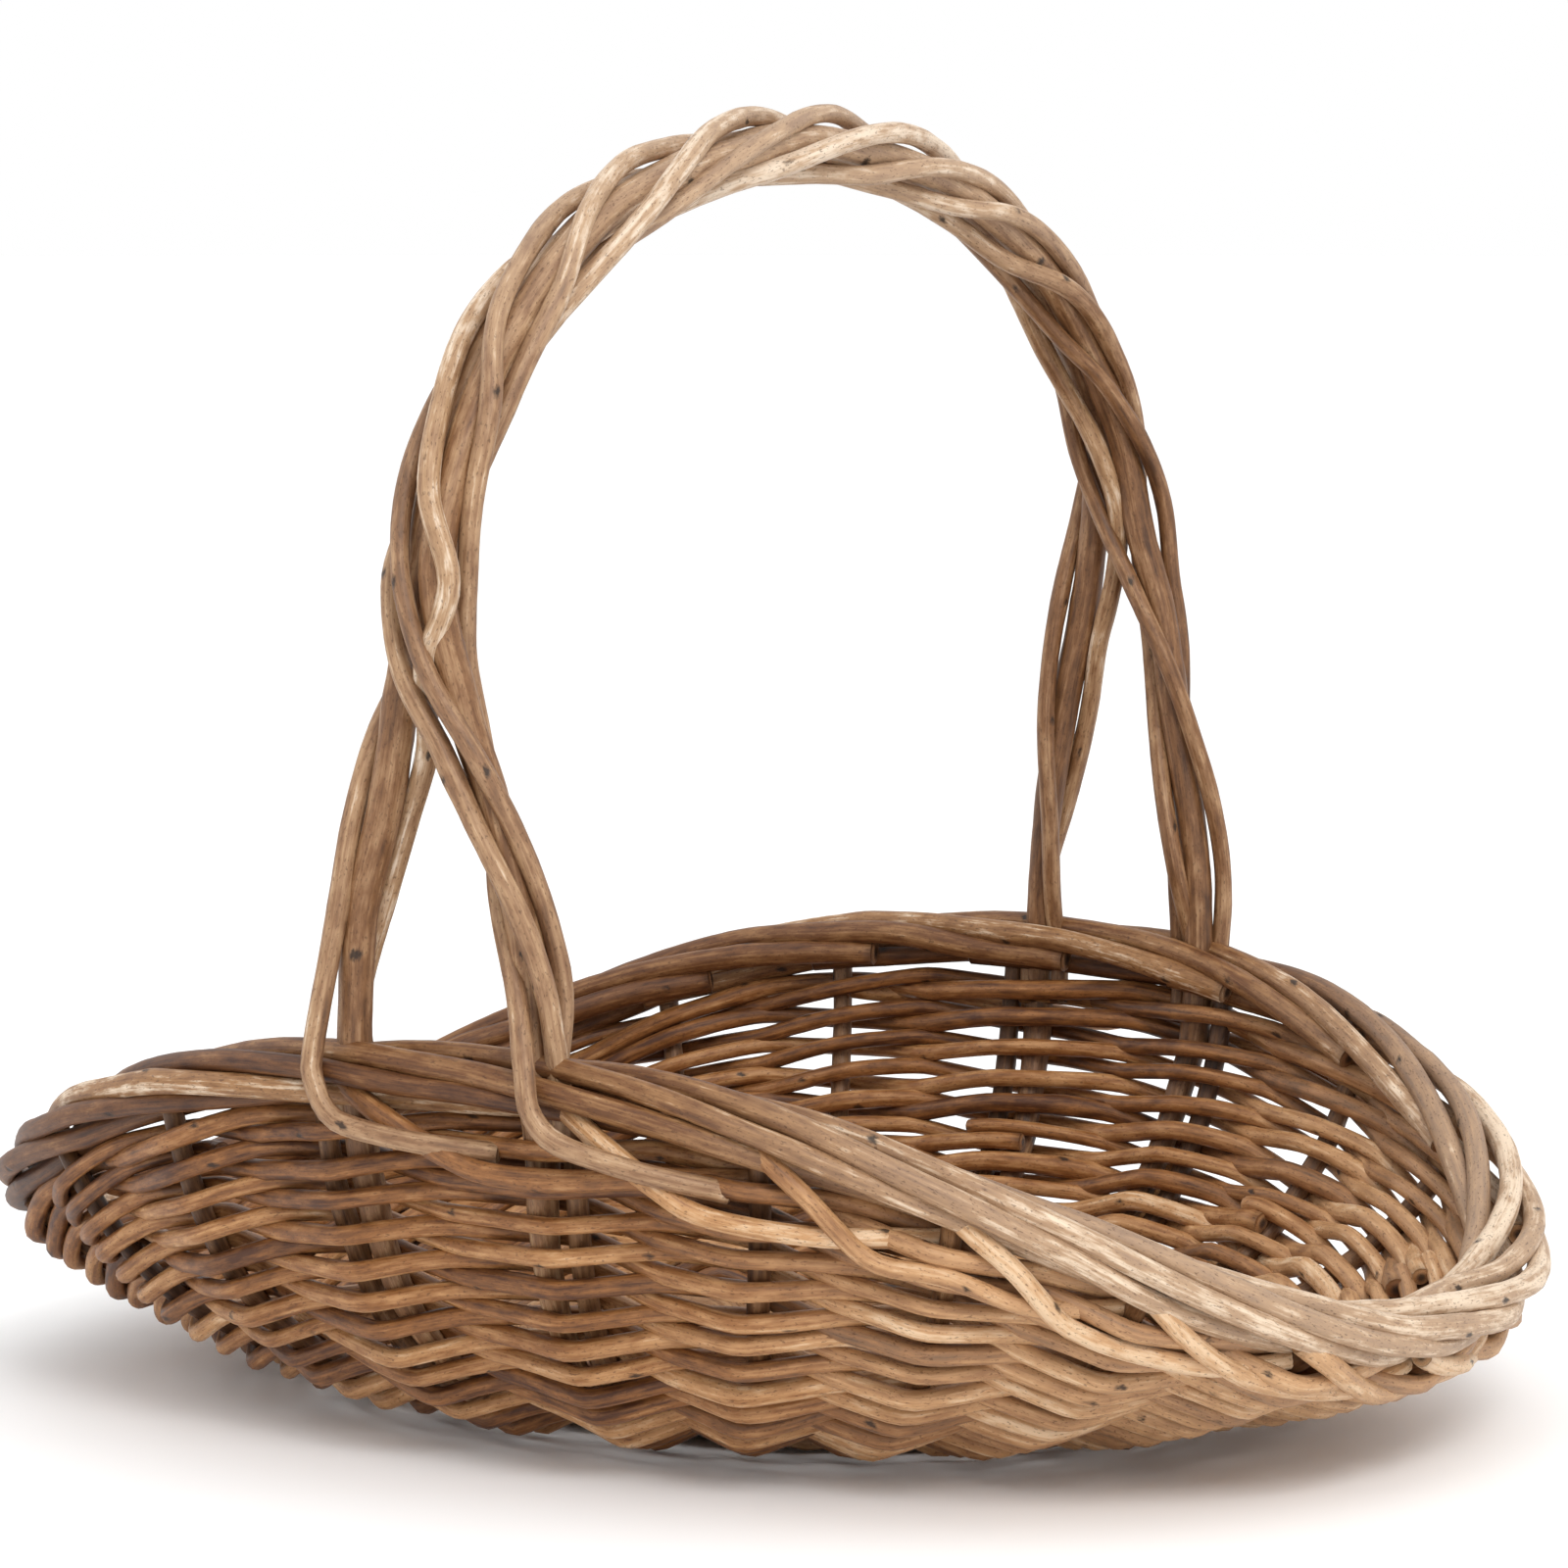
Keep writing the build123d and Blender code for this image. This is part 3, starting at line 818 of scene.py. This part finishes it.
ARCH, ARCH_LENGTH = arch_path()
ARCH_S = np.linspace(0, ARCH_LENGTH, len(ARCH))


def arch_frames():
    """Middle of the rope along the arch, with unit vectors outward from the arch's inside."""
    middle = np.array([HANDLE_X, 0, 0]) + ALONG * ARCH[:, :1] + UP * ARCH[:, 1:]
    tangent = unit(np.gradient(middle, axis=0))
    outward = np.cross(np.broadcast_to(ACROSS, tangent.shape), tangent)
    outward = unit(outward)
    if outward[len(outward) // 2][2] < 0:
        outward = -outward
    return middle, outward


MIDDLE, OUTWARD = arch_frames()


def foot_share():
    """0 in the rope, growing to 1 where the leg stands on the border, on either side."""
    start = np.where(ARCH[:, 0] < 0, SPLIT_NEAR, SPLIT_FAR) + SPLIT_SOFTNESS
    return smooth_step((start - ARCH[:, 1]) / (start - RIM_HIGH))


def standing(foot_near, foot_far):
    """Straight legs above the two feet, one on each side, at every height of the arch."""
    out = np.zeros((len(ARCH), 3))
    for side, x in ((-1, foot_near), (1, foot_far)):
        y = side * RIM_B * (1 - (abs(x) / RIM_A) ** SQUARENESS) ** (1 / SQUARENESS)
        rows = (ARCH[:, 0] < 0) if side < 0 else (ARCH[:, 0] >= 0)
        out[rows, 0] = x
        out[rows, 1] = y
    out[:, 2] = ARCH[:, 1]
    return out


CORE_TURN = CORE_SWAY * np.sin(math.tau * ARCH_S / ARCH_LENGTH)


def core_line(foot):
    """Path of a thick core between its two feet."""
    sign = -1 if foot == 0 else 1
    beside = np.cos(CORE_TURN)[:, None] * ACROSS + np.sin(CORE_TURN)[:, None] * OUTWARD
    rope = MIDDLE + sign * CORE_OFFSET * beside
    stand = standing(NEAR_FEET[foot], FAR_FEET[foot])
    share = foot_share()[:, None]
    return rope * (1 - share) + stand * share


def buried(foot, side):
    """The core's end inside the wall, from just under the border down beside its stake."""
    x = (NEAR_FEET if side < 0 else FAR_FEET)[foot]
    t = rim_angle(x, side)
    f = np.array([0.97, 0.85, 0.65, 0.45, 0.28])
    shift = np.linspace(0, 0.0035, len(f)) * (-1 if foot else 1)
    path = wall(np.full_like(f, t), f)
    path[:, 0] += shift
    return path


CORES = [core_line(0), core_line(1)]


def handle_pale_and_painted_shade(points):
    """Pale at the top of the arch, browner down the legs, and with painted shade making the far
    side browner.
    """
    high = smooth_step((points[:, 2] - 0.258) / 0.078)
    far = smooth_step((points[:, 1] + 0.03) / 0.15)
    return 0.02 + 0.50 * high - 0.35 * far * (1 - high)


def handle_cores():
    """The two thick rods, from inside the near wall over the arch into the far wall."""
    for foot, cad_name in enumerate(("handle_core_left", "handle_core_right")):
        line = CORES[foot][::12]
        line = line[line[:, 2] > RIM_HIGH + 0.004]
        full = smooth_path(np.vstack([buried(foot, -1)[::-1], line, buried(foot, 1)]))
        piece = Piece(f"handle_core_{'ab'[foot]}")
        radii = CORE_R * np.linspace(1.05, 0.96, 41)
        radii[:5] = np.linspace(CORE_TIP_R, CORE_R, 5)
        radii[-5:] = np.linspace(CORE_R, CORE_TIP_R, 5)
        piece.rod(full, radii, sides=18, step=0.003, wobble=0.0005, tone=0.45,
                  pale=handle_pale_and_painted_shade(full))
        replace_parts(piece.build(HANDLE, "handle_willow"), cad_name)


def outside_tail(stop, shift, stretch):
    """A wrap's end bent over the outside of the near border and tucked away under it."""
    along = np.array([0.00, 0.03, 0.10, 0.22, 0.55, 0.85]) * stretch + shift
    middle, outward, up = border_frame(stop + along)
    out = np.array([12.6, 14.2, 14.6, 13.8, 10.8, 3.0]) / 1000
    rise = np.array([6.0, -1.0, -7.2, -10.8, -14.0, -16.0]) / 1000
    return middle + outward * out[:, None] + up * rise[:, None]


def inside_tail(anchor, side):
    """A wrap's end going down through the middle of the border."""
    return np.array([
        [anchor[0], side * RIM_B * 0.995, RIM_HIGH - 0.002],
        [anchor[0], side * RIM_B * 0.985, RIM_HIGH - 0.016],
    ])


# Foot, starting angle round the rope, thickness, and whether the near end is an outside tail.
WRAPS = {
    "handle_wrap_left_outer": (0, 62.2, 1.00, True),
    "handle_wrap_left_inner": (0, -153.8, 1.06, False),
    "handle_wrap_right_inner": (1, -81.8, 0.95, False),
    "handle_wrap_right_outer": (1, 134.2, 1.00, True),
    "handle_wrap_right_side": (1, -9.8, 1.04, False),
}


def clear_of_cores(line, touch):
    """The line pushed out smoothly, so that the wrap lies on both cores and not in them."""
    window = np.hanning(9) / np.hanning(9).sum()
    for _ in range(6):
        for core in CORES:
            apart = line[:, None] - core[None]
            nearest = np.linalg.norm(apart, axis=2).argmin(1)
            offset = apart[np.arange(len(line)), nearest]
            distance = np.linalg.norm(offset, axis=1, keepdims=True)
            push = unit(offset) * np.maximum(touch - distance, 0) * 1.1
            line = line + np.stack([np.convolve(push[:, k], window, "same") for k in range(3)], 1)
    return line


def handle_wraps():
    """Thinner rods wound round the cores in the rope, and each round its own core in a leg."""
    for cad_name, (foot, phase, thickness, passes_outside) in WRAPS.items():
        radius = WRAP_R * thickness
        share = foot_share()
        turn = math.radians(phase) + math.tau * ARCH_S / WRAP_PITCH
        touch = (CORE_R + radius) * 1.02
        own = smooth_step(share * 2.0)
        wide = (WRAP_WIDE * (1 - own) + touch * own) * np.cos(turn)
        sharp = bent_wave(turn - math.pi / 2)
        kinked = (1 - WRAP_SHARPNESS) * np.sin(turn) + WRAP_SHARPNESS * sharp
        high = WRAP_HIGH * (1 - own) * kinked + touch * own * np.sin(turn)
        middle = MIDDLE * (1 - own[:, None]) + CORES[foot] * own[:, None]
        line = middle + wide[:, None] * ACROSS + high[:, None] * OUTWARD
        line = clear_of_cores(line, CORE_R + radius)
        clear = np.where(passes_outside & (ARCH[:, 0] < 0), TAIL_CLEAR, END_CLEAR)
        line = line[ARCH[:, 1] > RIM_HIGH + clear]
        ends = [inside_tail(line[0], -1), inside_tail(line[-1], 1)]
        if passes_outside:
            ends[0] = (outside_tail(0, -0.02, 1.2) if foot
                       else outside_tail(COUNT - 1, 0.03, 0.85))
        full = smooth_path(np.vstack([ends[0][::-1], line[2:-2:8], ends[1]]))
        piece = Piece(cad_name.replace("handle_wrap", "handle_wrap_rod"))
        piece.rod(full, radius, radius * 0.92, sides=14, step=0.003, wobble=0.0004,
                  tone=random.uniform(0.35, 0.9), pale=handle_pale_and_painted_shade(full) + WRAP_PALER)
        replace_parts(piece.build(HANDLE, "handle_willow"), cad_name)


handle_cores()
handle_wraps()


# ---------------------------------------------------------------- stage, light and camera
LIT_PLACE = Vector((0, 0, 0.1))
CAMERA_AZIMUTH = math.radians(30.15)
CAMERA_ELEVATION = math.radians(5.11)
CAMERA_DISTANCE = 1.520
CAMERA_LENS = 132.84
CAMERA_PIVOT = Vector((0, 0, 0.180))
CAMERA_AIM = Vector((0, 0, 0.162))
CAMERA_AIM_RIGHT = 0.0056


def stage():
    """White floor and an even white sky."""
    bpy.ops.mesh.primitive_circle_add(vertices=96, radius=30, fill_type="NGON")
    floor = bpy.context.object
    floor.name = "studio_floor"
    material = bpy.data.materials.new("studio_white")
    material.use_nodes = True
    shader = material.node_tree.nodes["Principled BSDF"]
    shader.inputs["Base Color"].default_value = (0.97, 0.97, 0.97, 1)
    shader.inputs["Roughness"].default_value = 0.9
    floor.data.materials.append(material)
    world = bpy.data.worlds.new("studio")
    bpy.context.scene.world = world
    world.use_nodes = True
    world.node_tree.nodes["Background"].inputs["Color"].default_value = (1, 1, 1, 1)
    world.node_tree.nodes["Background"].inputs["Strength"].default_value = 1.0
    bpy.context.scene.view_settings.view_transform = "Standard"


def softbox(name, place, size, power):
    """Square studio light, turned to the basket."""
    data = bpy.data.lights.new(name, "AREA")
    data.shape = "SQUARE"
    data.size = size
    data.energy = power
    light = bpy.data.objects.new(name, data)
    bpy.context.scene.collection.objects.link(light)
    light.location = place
    light.rotation_euler = (LIT_PLACE - Vector(place)).to_track_quat("-Z", "Y").to_euler()


def sun():
    """Very soft light from above, slightly from the near right."""
    data = bpy.data.lights.new("sky_light", "SUN")
    data.energy = 0.45
    data.angle = math.radians(60)
    light = bpy.data.objects.new("sky_light", data)
    bpy.context.scene.collection.objects.link(light)
    light.rotation_euler = Vector((-0.5, 0.35, -1.0)).to_track_quat("-Z", "Y").to_euler()


def camera():
    """Camera to the near right, a little lower than the top of the handle."""
    back = Vector((
        math.sin(CAMERA_AZIMUTH) * math.cos(CAMERA_ELEVATION),
        -math.cos(CAMERA_AZIMUTH) * math.cos(CAMERA_ELEVATION),
        math.sin(CAMERA_ELEVATION),
    ))
    place = CAMERA_PIVOT + back * CAMERA_DISTANCE
    right = Vector((math.cos(CAMERA_AZIMUTH), math.sin(CAMERA_AZIMUTH), 0))
    aim = CAMERA_AIM + right * CAMERA_AIM_RIGHT
    data = bpy.data.cameras.new("camera")
    data.lens = CAMERA_LENS
    data.sensor_width = 36
    data.clip_start = 0.05
    data.clip_end = 60
    cam = bpy.data.objects.new("camera", data)
    bpy.context.scene.collection.objects.link(cam)
    cam.location = place
    cam.rotation_euler = (aim - place).to_track_quat("-Z", "Y").to_euler()
    bpy.context.scene.camera = cam


stage()
sun()
softbox("key", place=(1.4, -1.3, 1.7), size=0.8, power=20)
softbox("side", place=(-2.0, -0.6, 1.3), size=0.8, power=5)
camera()
